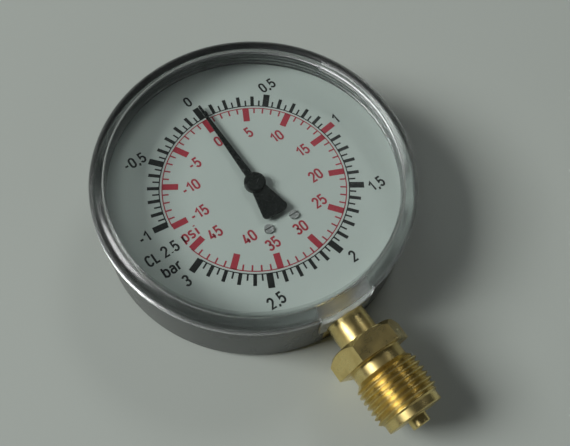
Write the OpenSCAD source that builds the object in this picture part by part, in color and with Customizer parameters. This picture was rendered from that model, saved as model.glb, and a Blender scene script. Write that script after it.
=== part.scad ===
// Round dial pressure gauge with a bottom pipe thread, lying on its back.
// Origin: centre of the back face, on the pointer's axis. +Z out of the dial, -Y along the stem.

/* [Case] */
// Outer radius of the case wall
case_r = 50.5; // [48:0.1:56]
// Thickness of the case wall
case_wall = 2; // [1.5:0.1:2.6]
// Thickness of the case back
back_t = 2.3; // [1.8:0.1:3.5]
// Rounding of the edge between back and wall
back_round = 2; // [0.9:0.1:3]
// Width of the notch in the rim that the window's key fills
notch_w = 18.4; // [16.7:0.1:22]
// Depth of that notch below the rim
notch_h = 4; // [2.2:0.1:4.4]
// Width of the slot in the wall that the socket sits in
slot_w = 14; // [13.7:0.1:16]

/* [Window] */
// Thickness of the clear disc
window_t = 3.1; // [2.6:0.1:4.4]
// Height of the window above the case rim
window_h = 6.4; // [5.9:0.1:8]
// How far the window stands out over the case wall
window_lip = 0.75; // [0.6:0.05:1.2]
// Radius of the rounded shoulder
shoulder_r = 5; // [3.8:0.1:5.3]
// Thickness of the ring that is pushed into the case
ring_t = 1.5; // [1:0.1:2]
// How far that ring reaches down into the case
ring_h = 3.7; // [1.5:0.1:4.1]
// Width of the tab that closes the slot
tab_w = 18.8; // [17:0.1:22.4]
// How far the tab hangs below the rim
tab_drop = 11.9; // [10:0.1:13]

/* [Dial] */
// Thickness of the dial
dial_t = 0.9; // [0.6:0.1:1.5]
// Gap between the front movement plate and the dial
dial_gap = 2; // [1.6:0.1:3]
// Distance of each dial screw from the middle line
dial_screw_x = 4.7; // [4.1:0.1:6.6]
// Distance of the dial screws below the pointer axis
dial_screw_y = 15.4; // [14.6:0.1:17.6]
// Height of the case rim above the dial face
rim_rise = 6; // [5.3:0.1:7.3]

/* [Stem] */
// Height of the stem axis above the back
stem_z = 13.9; // [13.4:0.1:14.6]
// Radius of the neck
neck_r = 6.5; // [5.3:0.1:6.6]
// Length of the neck outside the case
neck_len = 8.7; // [7:0.1:14]
// Hexagon size across flats
hex_af = 22; // [19:0.5:24]
// Length of the hexagon
hex_len = 6.8; // [5:0.1:12]
// Radius of the relief groove behind the thread
relief_r = 8.6; // [7.5:0.1:8.9]
// Length of the relief groove
relief_len = 3.8; // [2.5:0.1:6]
// Outer radius of the pipe thread
thread_r = 10.48; // [9.5:0.01:11]
// Length of the thread
thread_len = 13.6; // [11:0.1:18]
// Radius of the plain lead below the thread
lead_r = 9.1; // [7.5:0.1:9.3]
// Length of the plain lead
lead_len = 2.6; // [2:0.1:4.5]
// Radius of the sealing spigot
spigot_r = 3; // [2.6:0.1:5]
// Length of the sealing spigot
spigot_len = 3; // [2:0.1:4.5]
// Radius of the pressure port
port_r = 1.6; // [1:0.05:2.1]

/* [Pointer] */
// Length of the needle from the axis
needle_len = 34.3; // [29:0.1:38]
// Length of the flared tail from the axis
tail_len = 12.9; // [10:0.1:13.8]
// Width of the tail at its end
tail_w = 8.8; // [6:0.1:10]
// Radius of the hub
hub_r = 3.5; // [2.9:0.1:4.4]
// Height of the needle's underside above the dial face
needle_rise = 1.5; // [1.2:0.1:2.3]
// Thickness of the needle
needle_t = 0.7; // [0.4:0.1:1.2]

/* [Movement] */
// Tooth module of the sector and pinion
gear_module = 0.366; // [0.322:0.002:0.38]
// Teeth on the pinion
pinion_teeth = 12; // [12:1:13]
// Turns of the pinion for one turn of the sector
gear_ratio = 10; // [9:1:10]
// Thickness of the movement plates
plate_t = 1.5; // [1.2:0.1:2]
// Free height between the movement plates
gear_room = 5.9; // [5.6:0.1:7.3]
// Thickness of the sector
sector_t = 1.2; // [0.9:0.1:1.5]
// Thickness of the tongue that carries the movement
tongue_t = 2.6; // [2:0.1:3.5]
// Height of the bosses that the tongue is screwed to
boss_h = 1.5; // [0.9:0.1:2.3]

/* [Pressure tube] */
// Centre-line radius of the curved tube
tube_r = 38; // [37.4:0.1:41]
// Height of the flattened tube section
tube_h = 9.7; // [7.3:0.1:10.2]
// Depth of the flattened tube section
tube_d = 3.2; // [2.6:0.1:3.8]
// Wall of the tube
tube_wall = 0.5; // [0.3:0.05:0.75]

/* [Hidden] */
$fn = 96;
cut = 0.5;            // how far a cutter passes the face it opens, or a solid runs into its neighbour
seat_clear = 0.05;    // gap of pieces that are pushed or soldered together
running_clear = 0.04; // radial gap of a turning pivot
side_clear = 0.1;     // gap beside a turning piece

// Heights, from the back upwards
tongue_z = back_t + boss_h;
back_plate_z = tongue_z + tongue_t;
room_z = back_plate_z + plate_t;
front_plate_z = room_z + gear_room;
front_top_z = front_plate_z + plate_t;
dial_z = front_top_z + dial_gap;
face_z = dial_z + dial_t;
rim_z = face_z + rim_rise;
notch_z = rim_z - notch_h;
ring_z = rim_z - ring_h;
glass_z = rim_z + window_h;
under_z = glass_z - window_t;
needle_z = face_z + needle_rise;
tube_z = (back_t + dial_z) / 2;

// Radii of the case and the window
case_ri = case_r - case_wall;
glass_r = case_r + window_lip;
ring_ro = case_ri - seat_clear;
ring_ri = ring_ro - ring_t;
dial_play = 0.3;
dial_r = case_ri - dial_play;
key_play = 0.05;
key_w = notch_w - 2 * key_play;

// Stations along the stem, from the pointer axis
block_set_in = 0.6;
block_wall = 2;
block_out = case_r - block_set_in;
block_in = tube_r - tube_d / 2 - block_wall;
neck_in = block_out - cut;
neck_play = 0.3;
hex_y = case_r + neck_len;
relief_y = hex_y + hex_len;
thread_y = relief_y + relief_len;
lead_y = thread_y + thread_len;
spigot_y = lead_y + lead_len;
stem_end = spigot_y + spigot_len;
slot_play = 0.15;
block_w = slot_w - 2 * slot_play;
block_clear = 0.7;
block_top = dial_z - block_clear;

// Gear train: the sector's pivot lies straight below the pinion
pressure_angle = 20;
backlash = 0.1;
pinion_r = gear_module * pinion_teeth / 2;
sector_teeth = pinion_teeth * gear_ratio;
sector_r = gear_module * sector_teeth / 2;
centre_dist = pinion_r + sector_r;
pinion_addendum = 0.9 * gear_module;
pinion_dedendum = 0.85 * gear_module;
sector_addendum = 0.6 * gear_module;
sector_dedendum = 1.15 * gear_module;
pinion_tip = pinion_r + pinion_addendum;
pinion_root = pinion_r - pinion_dedendum;
sector_tip = sector_r + sector_addendum;
sector_root = sector_r - sector_dedendum;
flank_steps = 5;
tooth_sink = 0.05;    // how deep a tooth's foot stands in its wheel
swing_down = 8.25;
swing_up = 24.75;
tooth_step = 360 / sector_teeth;
first_tooth = -ceil(swing_up / tooth_step) - 1;
last_tooth = ceil(swing_down / tooth_step) + 1;
blade_from = 90 + (first_tooth - 1) * tooth_step;
blade_to = 90 + (last_tooth + 1) * tooth_step;
rim_w = 2;
spoke_r = 0.9;
sector_hub_r = 3.2;
sector_lift = 1.2;
pinion_lap = 0.45;
sector_z = room_z + sector_lift;
pinion_z = sector_z - pinion_lap;
pinion_h = sector_t + 2 * pinion_lap;
link_z = sector_z + sector_t + side_clear;
link_t = 0.9;

// Shafts and pins
arbor_r = 0.9;
back_pivot_r = 0.5;
front_pivot_r = 0.75;
sector_arbor_r = 1.3;
pin_r = 0.75;
pin_head_r = 1.3;
pin_head_h = 0.45;
tip_slack = 0.45;     // play of the link's eye on the tip pin
eye_r = 1.6;
link_eye_r = 2.05;
link_half_w = 1.13;
link_len = 28.1;

// Sector tail, link and tube tip
tail_clear = 2.9;
tail_arm = block_in - centre_dist - tail_clear;
tail_rest = -90 - (swing_up - swing_down) / 2;
tail_eye = [tail_arm * cos(tail_rest), tail_arm * sin(tail_rest) - centre_dist];
tip_pin_at = [tail_eye.x + link_len, tail_eye.y];
tube_start = 3;       // angle from six o'clock, clockwise, where the tube opens
tube_end = 295;       // angle from six o'clock, clockwise, of the free end
pocket_from = -4;     // the same for the pocket in the socket that takes the tube
pocket_to = 12;
cap_len = 5.9;
cap_lip = 0.9;
ear_t = sector_t;

// Hairspring
collet_r = 1.9;
collet_lift = 0.3;
collet_z = link_z + link_t + collet_lift;
collet_h = 1.8;
spring_turns = 5;
spring_t = 0.18;
spring_h = 1.2;
spring_z = collet_z + (collet_h - spring_h) / 2;
spring_in_r = collet_r + seat_clear;
spring_out_r = 8.2;
steps_per_turn = 24;
spring_steps = spring_turns * steps_per_turn;
stud_r = 0.9;

// Movement plates and their fasteners
pillar_r = 1.75;
pillar_foot_r = 1.15;
plate_edge = 3.2;
plate_below = 2.2;
plate_low_y = -centre_dist - plate_below;
upper_pillar = [12.4, 8];
lower_pillar = [-9.5, plate_low_y];
plate_corner = [7.3, plate_low_y];
pillar_spots = [[-upper_pillar.x, upper_pillar.y], upper_pillar, lower_pillar];
tongue_screw_x = 6.15;
movement_screw_y = 4.7;
case_screw_y = 16.1;
movement_screw_spots = [for (side = [-1, 1]) [side * tongue_screw_x, movement_screw_y]];
case_screw_spots = [for (side = [-1, 1]) [side * tongue_screw_x, case_screw_y]];
dial_screw_spots = [for (side = [-1, 1]) [side * dial_screw_x, -dial_screw_y]];
screw_r = 0.9;
shank_short = 0.3;    // how far a screw ends above the bottom of its hole
case_head_r = 2.35;
case_head_h = 1.15;
plate_head_r = 1.9;
movement_head_r = 2.05;
plate_head_h = 1;
dial_screw_r = 0.75;
dial_head_r = 1.55;
dial_head_h = 0.75;
dial_hole_play = 0.9;
post_r = 1.9;
boss_r = 3.2;
tongue_w = 17;
tongue_top = 19.6;

// Pointer
needle_root_w = 2.6;
needle_tip_w = 0.75;
tail_root_w = 4;
tail_corner_r = 1.5;
hub_h = 2;
hub_drop = 0.3;
hub_z = needle_z - hub_drop;
hub_edge = 0.45;
hub_roof = 0.75;
bush_r = 1.5;
bush_rise = 0.6;
bush_z = face_z + bush_rise;
arbor_top = hub_z + hub_h - hub_roof;

// A strip of width 2 r with round ends, from p to q
module strap(p, q, r) {
    span = q - p;
    translate(p) circle(r);
    translate(q) circle(r);
    translate(p) rotate(atan2(span.y, span.x)) translate([0, -r]) square([norm(span), 2 * r]);
}

// A cylinder along the stem, from station y0 to y1
module stem_round(y0, y1, r) {
    translate([0, -y0, stem_z]) rotate([90, 0, 0]) cylinder(h = y1 - y0, r = r);
}

// A headed screw standing on z: the head above, the shank below
module headed_screw(spot, z, head_r, head_h, shank_r, shank_len) {
    slot_t = head_r * 0.4;
    slot_depth = head_h * 0.5;
    translate([spot.x, spot.y, z]) {
        difference() {
            cylinder(h = head_h, r = head_r);
            translate([-head_r - cut, -slot_t / 2, head_h - slot_depth])
                cube([2 * (head_r + cut), slot_t, slot_depth + cut]);
        }
        translate([0, 0, -shank_len]) cylinder(h = shank_len + head_h / 4, r = shank_r);
    }
}

// Involute flank: how far, in degrees, the flank has turned at radius r
function involute_turn(base_r, r) =
    let (a = acos(min(1, base_r / r))) tan(a) * 180 / PI - a;

// Half of a tooth's width, in degrees, at radius r of a gear of pitch radius pitch_r
function half_tooth(teeth, pitch_r, r) =
    let (base_r = pitch_r * cos(pressure_angle))
    90 / teeth - backlash / 2 / pitch_r * 180 / PI
        + involute_turn(base_r, pitch_r) - involute_turn(base_r, max(r, base_r));

// Outline of one tooth about the angle middle, from just under the root to the tip
function tooth(teeth, pitch_r, root_r, tip_r, middle) =
    let (foot_r = root_r - tooth_sink)
    [for (side = [-1, 1]) for (i = [0:flank_steps])
        let (step = side < 0 ? i : flank_steps - i,
            r = foot_r + (tip_r - foot_r) * step / flank_steps,
            a = middle + side * half_tooth(teeth, pitch_r, r))
        r * [cos(a), sin(a)]];

// Point i of the spiral, which ends at twelve o'clock, moved out by extra
function coil(extra, i) =
    let (a = 90 + 360 * (i - spring_steps) / steps_per_turn)
    (spring_in_r + (spring_out_r - spring_in_r) * i / spring_steps + extra) * [cos(a), sin(a)];

// Dark moulded cup with a slot for the socket and a wider notch above it for the window's key
module case() color("#1d1f20") {
    difference() {
        rotate_extrude() difference() {
            union() {
                square([case_r - back_round, rim_z]);
                translate([case_r - back_round, back_round]) circle(back_round);
                translate([0, back_round]) square([case_r, rim_z - back_round]);
            }
            translate([-cut, back_t]) square([case_ri + cut, rim_z]);
        }
        translate([-slot_w / 2, -case_r - cut, back_t]) cube([slot_w, case_r / 2, rim_z]);
        translate([-notch_w / 2, -case_r - cut, notch_z]) cube([notch_w, case_r / 2, rim_z]);
    }
    for (spot = case_screw_spots)
        translate([spot.x, spot.y, back_t]) difference() {
            translate([0, 0, -back_t / 2]) cylinder(h = boss_h + back_t / 2, r = boss_r);
            cylinder(h = boss_h + cut, r = screw_r + seat_clear);
        }
}

// Half section of the window's disc, shoulder and push-in ring
module window_section() {
    difference() {
        union() {
            translate([0, under_z]) square([glass_r - shoulder_r, window_t]);
            translate([glass_r - shoulder_r, glass_z - shoulder_r]) circle(shoulder_r);
            translate([ring_ri, ring_z]) square([glass_r - ring_ri, glass_z - shoulder_r - ring_z]);
        }
        translate([-cut, 0]) square([ring_ri + cut, under_z]);
        translate([ring_ro, 0]) square([glass_r, rim_z]);
    }
}

// The part of a ring between two radii that lies within half a width of the stem, from z0 to above the rim
module stem_arc(inner_r, outer_r, width, z0) {
    intersection() {
        translate([0, 0, z0]) difference() {
            cylinder(h = rim_z + cut - z0, r = outer_r);
            translate([0, 0, -cut]) cylinder(h = rim_z + 3 * cut - z0, r = inner_r);
        }
        translate([-width / 2, -outer_r - cut, 0]) cube([width, outer_r, glass_z]);
    }
}

// Clear push-fit window with a rounded shoulder, a key in the notch and a tab over the neck
module window() color("#dfe8ea", 0.35) {
    rotate_extrude() window_section();
    difference() {
        union() {
            stem_arc(case_r + seat_clear, glass_r, tab_w, rim_z - tab_drop);
            stem_arc(ring_ro - cut, glass_r, key_w, notch_z + key_play);
        }
        stem_round(block_in, hex_y, neck_r + neck_play);
    }
}

// White disc on two posts
module dial() color("#e9ece8") translate([0, 0, dial_z]) difference() {
    cylinder(h = dial_t, r = dial_r);
    translate([0, 0, -cut]) cylinder(h = dial_t + 2 * cut, r = bush_r + dial_hole_play);
    for (spot = dial_screw_spots)
        translate([spot.x, spot.y, -cut]) cylinder(h = dial_t + 2 * cut, r = dial_screw_r + seat_clear);
}

module dial_screws() color("#b9bab2")
    for (spot = dial_screw_spots)
        headed_screw(spot, face_z, dial_head_r, dial_head_h, dial_screw_r,
            dial_t + dial_gap - shank_short);

// Brass posts between the front plate and the dial
module dial_posts() color("#c9a24d")
    for (spot = dial_screw_spots)
        translate([spot.x, spot.y, front_top_z]) difference() {
            cylinder(h = dial_gap, r = post_r);
            translate([0, 0, -cut]) cylinder(h = dial_gap + 2 * cut, r = dial_screw_r + seat_clear);
        }

// Hexagon with its corners turned off towards the neck
module stem_hexagon() {
    translate([0, -hex_y, stem_z]) rotate([90, 0, 0]) intersection() {
        cylinder(h = hex_len, r = hex_af / sqrt(3), $fn = 6);
        cylinder(h = hex_len, r1 = hex_af / 2, r2 = hex_af / 2 + hex_len);
    }
}

// Brass socket: block in the case slot, tongue under the movement, stem outside
module socket() color("#b8923f") difference() {
    union() {
        translate([-block_w / 2, -block_out, back_t])
            cube([block_w, block_out - block_in, block_top - back_t]);
        stem_round(neck_in, hex_y + cut, neck_r);
        stem_hexagon();
        stem_round(relief_y - cut, thread_y + cut, relief_r);
        stem_round(thread_y, lead_y, thread_r);
        stem_round(lead_y - cut, spigot_y, lead_r);
        stem_round(spigot_y - cut, stem_end, spigot_r);
        tongue();
    }
    stem_round(tube_r, stem_end + cut, port_r);
    rotate(-90 - pocket_to) rotate_extrude(angle = pocket_to - pocket_from) tube_outline(seat_clear);
}

// Flat tongue of the socket with holes for the case and movement screws
module tongue() translate([0, 0, tongue_z]) difference() {
    translate([-tongue_w / 2, -block_in - cut]) cube([tongue_w, tongue_top + block_in + cut, tongue_t]);
    for (spot = concat(case_screw_spots, movement_screw_spots))
        translate([spot.x, spot.y, -cut]) cylinder(h = tongue_t + 2 * cut, r = screw_r + seat_clear);
}

module case_screws() color("#a9abad")
    for (spot = case_screw_spots)
        headed_screw(spot, back_plate_z, case_head_r, case_head_h, screw_r, tongue_t + boss_h - shank_short);

// Flattened section of the pressure tube, grown by extra
module tube_outline(extra) {
    half_d = tube_d / 2 + extra;
    straight = tube_h - tube_d;
    translate([tube_r, tube_z]) {
        for (side = [-1, 1]) translate([0, side * straight / 2]) circle(half_d);
        translate([-half_d, -straight / 2]) square([2 * half_d, straight]);
    }
}

// Curved tube from the socket clockwise to its free end
module bourdon_tube() color("#c08a4a")
    rotate(-90 - tube_end) rotate_extrude(angle = tube_end - tube_start) difference() {
        tube_outline(0);
        tube_outline(-tube_wall);
    }

// Outline shared by the two movement plates: a border around four corners, with the corners cut off
module plate_outline() {
    corners = [[-upper_pillar.x, upper_pillar.y], upper_pillar, plate_corner, lower_pillar];
    polygon([for (i = [0:3])
        let (p = corners[i], q = corners[(i + 1) % 4], span = q - p)
        each [for (end = [p, q]) end + plate_edge * [-span.y, span.x] / norm(span)]]);
}

module movement_back_plate() color("#c7a554") translate([0, 0, back_plate_z]) difference() {
    linear_extrude(plate_t) plate_outline();
    translate([0, 0, -cut]) {
        cylinder(h = plate_t + 2 * cut, r = back_pivot_r + running_clear);
        translate([0, -centre_dist]) cylinder(h = plate_t + 2 * cut, r = back_pivot_r + running_clear);
        for (spot = movement_screw_spots)
            translate(spot) cylinder(h = plate_t + 2 * cut, r = screw_r + seat_clear);
        for (spot = pillar_spots)
            translate(spot) cylinder(h = plate_t + 2 * cut, r = pillar_foot_r + seat_clear);
    }
}

module movement_front_plate() color("#c7a554") translate([0, 0, front_plate_z]) difference() {
    linear_extrude(plate_t) plate_outline();
    translate([0, 0, -cut]) {
        cylinder(h = plate_t + 2 * cut, r = front_pivot_r + running_clear);
        translate([0, -centre_dist]) cylinder(h = plate_t + 2 * cut, r = back_pivot_r + running_clear);
        for (spot = pillar_spots)
            translate(spot) cylinder(h = plate_t + 2 * cut, r = screw_r + seat_clear);
    }
}

// Three pillars riveted into the back plate and tapped at the front
module movement_pillars() color("#c9a24d")
    for (spot = pillar_spots)
        translate([spot.x, spot.y, room_z]) difference() {
            union() {
                cylinder(h = gear_room, r = pillar_r);
                translate([0, 0, -plate_t]) cylinder(h = plate_t + cut, r = pillar_foot_r);
            }
            translate([0, 0, gear_room / 2]) cylinder(h = gear_room, r = screw_r + seat_clear);
        }

module front_plate_screws() color("#a9abad")
    for (spot = pillar_spots)
        headed_screw(spot, front_top_z, plate_head_r, plate_head_h, screw_r,
            plate_t + gear_room / 2 - shank_short);

module movement_screws() color("#a9abad")
    for (spot = movement_screw_spots)
        headed_screw(spot, room_z, movement_head_r, plate_head_h, screw_r, plate_t + tongue_t - shank_short);

// Post on the back plate that holds the outer end of the hairspring
module hairspring_stud() color("#c9a24d")
    translate([0, spring_out_r + spring_t + stud_r + seat_clear, room_z])
        cylinder(h = spring_z + spring_h - room_z, r = stud_r);

// Pointer shaft with its pinion leaves
module pinion_arbor() color("#d0ac58") {
    translate([0, 0, back_plate_z + side_clear])
        cylinder(h = plate_t + cut, r = back_pivot_r);
    translate([0, 0, room_z + side_clear])
        cylinder(h = gear_room - 2 * side_clear, r = arbor_r);
    translate([0, 0, front_plate_z - cut])
        cylinder(h = arbor_top - front_plate_z + cut, r = front_pivot_r);
    translate([0, 0, pinion_z]) linear_extrude(pinion_h) {
        circle(pinion_root);
        for (k = [0:pinion_teeth - 1])
            polygon(tooth(pinion_teeth, pinion_r, pinion_root, pinion_tip,
                -90 + (k + 0.5) * 360 / pinion_teeth));
    }
}

module hairspring_collet() color("#c9a24d") translate([0, 0, collet_z]) difference() {
    cylinder(h = collet_h, r = collet_r);
    translate([0, 0, -cut]) cylinder(h = collet_h + 2 * cut, r = arbor_r + seat_clear);
}

// Flat spiral from the collet out to the stud
module hairspring() color("#b9a06a") translate([0, 0, spring_z]) linear_extrude(spring_h)
    polygon(concat([for (i = [0:spring_steps]) coil(0, i)],
        [for (i = [spring_steps:-1:0]) coil(spring_t, i)]));

// Brass bush inside the pointer's hub
module pointer_bush() color("#c9a24d") translate([0, 0, bush_z]) difference() {
    cylinder(h = arbor_top - bush_z, r = bush_r);
    translate([0, 0, -cut]) cylinder(h = arbor_top - bush_z + 2 * cut, r = front_pivot_r + seat_clear);
}

// Black pointer: tapered needle, round hub and flared tail
module pointer() color("#17181a") difference() {
    union() {
        translate([0, 0, needle_z]) linear_extrude(needle_t) {
            polygon([[-needle_root_w / 2, 0], [needle_root_w / 2, 0],
                [needle_tip_w / 2, needle_len], [-needle_tip_w / 2, needle_len]]);
            tail_outline();
        }
        translate([0, 0, hub_z]) {
            cylinder(h = hub_h - hub_edge, r = hub_r);
            translate([0, 0, hub_h - hub_edge]) cylinder(h = hub_edge, r1 = hub_r, r2 = hub_r - hub_edge);
        }
    }
    translate([0, 0, hub_z - cut]) cylinder(h = arbor_top - hub_z + cut, r = bush_r + seat_clear);
}

// Tail of the pointer, wider towards its end, with round corners
module tail_outline() {
    end_x = tail_w / 2 - tail_corner_r;
    end_y = tail_corner_r - tail_len;
    polygon([[tail_root_w / 2, 0], [-tail_root_w / 2, 0], [-tail_w / 2, end_y], [-end_x, -tail_len],
        [end_x, -tail_len], [tail_w / 2, end_y]]);
    for (side = [-1, 1]) translate([side * end_x, end_y]) circle(tail_corner_r);
}

// Toothed sector with two spokes and a tail, drawn about its pivot
module sector_outline() {
    reach = 2 * sector_r;
    difference() {
        circle(sector_root);
        circle(sector_root - rim_w);
        polygon([[0, 0], reach * [cos(blade_to), sin(blade_to)], reach * [-1, 1], reach * [-1, -1],
            reach * [1, -1], reach * [1, 1], reach * [cos(blade_from), sin(blade_from)]]);
    }
    for (a = [blade_from, blade_to])
        strap([0, 0], (sector_root - rim_w / 2) * [cos(a), sin(a)], spoke_r);
    for (k = [first_tooth:last_tooth])
        polygon(tooth(sector_teeth, sector_r, sector_root, sector_tip, 90 + k * tooth_step));
    circle(sector_hub_r);
    strap([0, 0], tail_arm * [cos(tail_rest), sin(tail_rest)], eye_r);
}

module sector_gear() color("#c9a24d") translate([0, -centre_dist, sector_z]) difference() {
    linear_extrude(sector_t) sector_outline();
    translate([0, 0, -cut]) {
        cylinder(h = sector_t + 2 * cut, r = sector_arbor_r + seat_clear);
        translate(tail_arm * [cos(tail_rest), sin(tail_rest)])
            cylinder(h = sector_t + 2 * cut, r = pin_r + seat_clear);
    }
}

module sector_arbor() color("#d0ac58") translate([0, -centre_dist]) {
    translate([0, 0, back_plate_z + side_clear]) cylinder(h = plate_t + cut, r = back_pivot_r);
    translate([0, 0, room_z + side_clear]) cylinder(h = gear_room - 2 * side_clear, r = sector_arbor_r);
    translate([0, 0, front_plate_z - cut]) cylinder(h = plate_t + cut, r = back_pivot_r);
}

// Pin with a head that keeps the link on
module link_pin(spot, bottom) translate([spot.x, spot.y, bottom]) {
    cylinder(h = link_z + link_t + side_clear - bottom + cut / 2, r = pin_r);
    translate([0, 0, link_z + link_t + side_clear - bottom]) cylinder(h = pin_head_h, r = pin_head_r);
}

module tail_pin() color("#b4b6b8") link_pin(tail_eye, sector_z);

module tip_pin() color("#b4b6b8") link_pin(tip_pin_at, sector_z);

// Flat link from the sector's tail to the tube's tip
module link() color("#b4b6b8") translate([0, 0, link_z]) difference() {
    linear_extrude(link_t) {
        strap(tail_eye, tip_pin_at, link_half_w);
        for (spot = [tail_eye, tip_pin_at]) translate(spot) circle(link_eye_r);
    }
    translate([tail_eye.x, tail_eye.y, -cut]) cylinder(h = link_t + 2 * cut, r = pin_r + running_clear);
    translate([tip_pin_at.x, tip_pin_at.y, -cut]) cylinder(h = link_t + 2 * cut, r = pin_r + tip_slack);
}

// Cap on the tube's free end with an ear for the link
module tube_tip() color("#c9a24d") {
    end_at = tube_r * [-sin(tube_end), -cos(tube_end)];
    along = [-cos(tube_end), sin(tube_end)];
    cap_w = tube_d + 2 * cap_lip;
    cap_h = tube_h + 2 * cap_lip;
    difference() {
        union() {
            translate([end_at.x, end_at.y, tube_z - cap_h / 2]) rotate(atan2(along.y, along.x))
                translate([0, -cap_w / 2]) cube([cap_len, cap_w, cap_h]);
            translate([0, 0, sector_z]) linear_extrude(ear_t)
                strap(end_at + along * cap_len / 2, tip_pin_at, eye_r);
        }
        translate([tip_pin_at.x, tip_pin_at.y, sector_z - cut])
            cylinder(h = ear_t + 2 * cut, r = pin_r + seat_clear);
    }
}

case();
window();
dial();
dial_screws();
dial_posts();
socket();
case_screws();
bourdon_tube();
movement_back_plate();
movement_front_plate();
movement_pillars();
front_plate_screws();
movement_screws();
hairspring_stud();
pinion_arbor();
hairspring_collet();
hairspring();
pointer_bush();
pointer();
sector_gear();
sector_arbor();
tail_pin();
link();
tube_tip();
tip_pin();
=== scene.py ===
"""Looks of a round pressure gauge that lies on its back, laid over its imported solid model.

Sizes are millimetres in the classes below and become metres when a mesh is made. The frame is
the solid model's: origin in the middle of the back face, +Z out of the dial, -Y along the stem.
"""

from __future__ import annotations

import logging
import math
from abc import ABC, abstractmethod
from dataclasses import dataclass, field
from enum import Enum
from typing import Any, Mapping, Sequence, Union

import bmesh
import bpy
import numpy as np
from mathutils import Matrix, Vector


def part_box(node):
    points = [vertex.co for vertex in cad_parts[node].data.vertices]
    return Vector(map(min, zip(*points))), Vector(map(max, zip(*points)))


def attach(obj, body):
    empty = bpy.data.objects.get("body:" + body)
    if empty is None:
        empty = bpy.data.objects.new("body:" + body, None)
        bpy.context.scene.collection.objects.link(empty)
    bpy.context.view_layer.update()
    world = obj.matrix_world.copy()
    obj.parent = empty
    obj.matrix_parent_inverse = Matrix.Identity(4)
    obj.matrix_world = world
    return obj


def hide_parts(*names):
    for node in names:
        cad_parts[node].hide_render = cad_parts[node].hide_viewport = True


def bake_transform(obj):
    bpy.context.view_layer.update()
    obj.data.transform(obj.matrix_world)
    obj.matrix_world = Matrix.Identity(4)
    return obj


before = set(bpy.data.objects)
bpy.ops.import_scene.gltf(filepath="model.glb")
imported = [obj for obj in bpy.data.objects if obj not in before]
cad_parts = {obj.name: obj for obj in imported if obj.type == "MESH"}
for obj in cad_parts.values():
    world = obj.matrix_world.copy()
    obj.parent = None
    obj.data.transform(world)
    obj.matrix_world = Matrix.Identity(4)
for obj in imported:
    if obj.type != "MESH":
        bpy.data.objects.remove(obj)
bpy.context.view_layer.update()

LOG = logging.getLogger("gauge")
MM = 0.001
PER_MM = 1000.0
SHARP_ANGLE = math.radians(32.0)
WELD = 1e-6
TINY = 1e-6
ARC_STEP = 12.0
READING_DIGITS = 4
GROOVE = "groove"
Colour = tuple[float, float, float, float]
Pair = tuple[float, float]
Triple = tuple[float, float, float]
Cells = Union[float, Triple]
Feed = Union["Term", float, Sequence[float]]
Rows = list[tuple[np.ndarray, np.ndarray]]


def rgb(red: float, green: float, blue: float) -> Colour:
    """An opaque colour."""
    return (red, green, blue, 1.0)


def added(name: str, data: bpy.types.ID) -> bpy.types.Object:
    """A new object in the scene."""
    made = bpy.data.objects.new(name, data)
    bpy.context.scene.collection.objects.link(made)
    return made


def quarter(steps: int) -> np.ndarray:
    """Even angles from 0 to a right angle, in radians."""
    return np.linspace(0.0, np.pi / 2, steps)


class Term:
    """A shader socket's value that takes part in Python arithmetic."""

    def __init__(self, graph: Graph, socket: bpy.types.NodeSocket) -> None:
        """Keeps the socket and the graph that it belongs to."""
        self.graph = graph
        self.socket = socket

    def __add__(self, other: Feed) -> Term:
        """Sum."""
        return self.graph.math("ADD", self, other)

    __radd__ = __add__

    def __rmul__(self, other: Feed) -> Term:
        """Product with the number on the left."""
        return self.graph.math("MULTIPLY", other, self)


class Graph:
    """The node tree of one material or of the world, written as Python expressions."""

    def __init__(self, owner: bpy.types.Material | bpy.types.World) -> None:
        """Empties the owner's tree.

        Args:
            owner: The material or the world.
        """
        self.owner = owner
        owner.use_nodes = True
        self.tree = owner.node_tree
        self.tree.nodes.clear()

    def node(
        self,
        kind: str,
        settings: Mapping[str, Any] | None = None,
        sockets: Mapping[str | int, Feed] | None = None,
        output: str | int = 0,
    ) -> Term:
        """Adds any node.

        Args:
            kind: The node's type.
            settings: Properties that are set first.
            sockets: Numbers, colours or terms for its inputs, by name or place.
            output: The output that is wanted, by name or place.

        Returns:
            The output as a term.
        """
        made = self.tree.nodes.new(kind)
        for key, value in (settings or {}).items():
            setattr(made, key, value)
        for key, value in (sockets or {}).items():
            if isinstance(value, Term):
                self.tree.links.new(value.socket, made.inputs[key])
            else:
                made.inputs[key].default_value = value
        return Term(self, made.outputs[output])

    def math(self, operation: str, first: Feed, second: Feed) -> Term:
        """Adds one Math node for two values."""
        return self.node("ShaderNodeMath", {"operation": operation}, {0: first, 1: second})

    def mix(self, factor: Feed, first: Feed, second: Feed) -> Term:
        """Mixes two colours: the first where the factor is 0, the second where it is 1."""
        return self.node("ShaderNodeMix", {"data_type": "RGBA"}, {0: factor, 6: first, 7: second}, 2)

    def step(self, value: Term, low: float, high: float) -> Term:
        """Smooth step of a value from 0 at low to 1 at high."""
        sockets = {"Value": value, "From Min": low, "From Max": high}
        return self.node("ShaderNodeMapRange", {"interpolation_type": "SMOOTHSTEP"}, sockets)

    def bump(self, height: Term, depth: float) -> Term:
        """Normal of a relief whose height of 1 stands the given millimetres deep."""
        sockets = {"Height": height, "Strength": 1.0, "Distance": depth * MM}
        return self.node("ShaderNodeBump", None, sockets)

    def show(self, shader: Term) -> None:
        """Connects a shader to the owner's output.

        Args:
            shader: The surface or background shader.
        """
        world = isinstance(self.owner, bpy.types.World)
        end = self.tree.nodes.new("ShaderNodeOutputWorld" if world else "ShaderNodeOutputMaterial")
        self.tree.links.new(shader.socket, end.inputs["Surface"])


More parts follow.
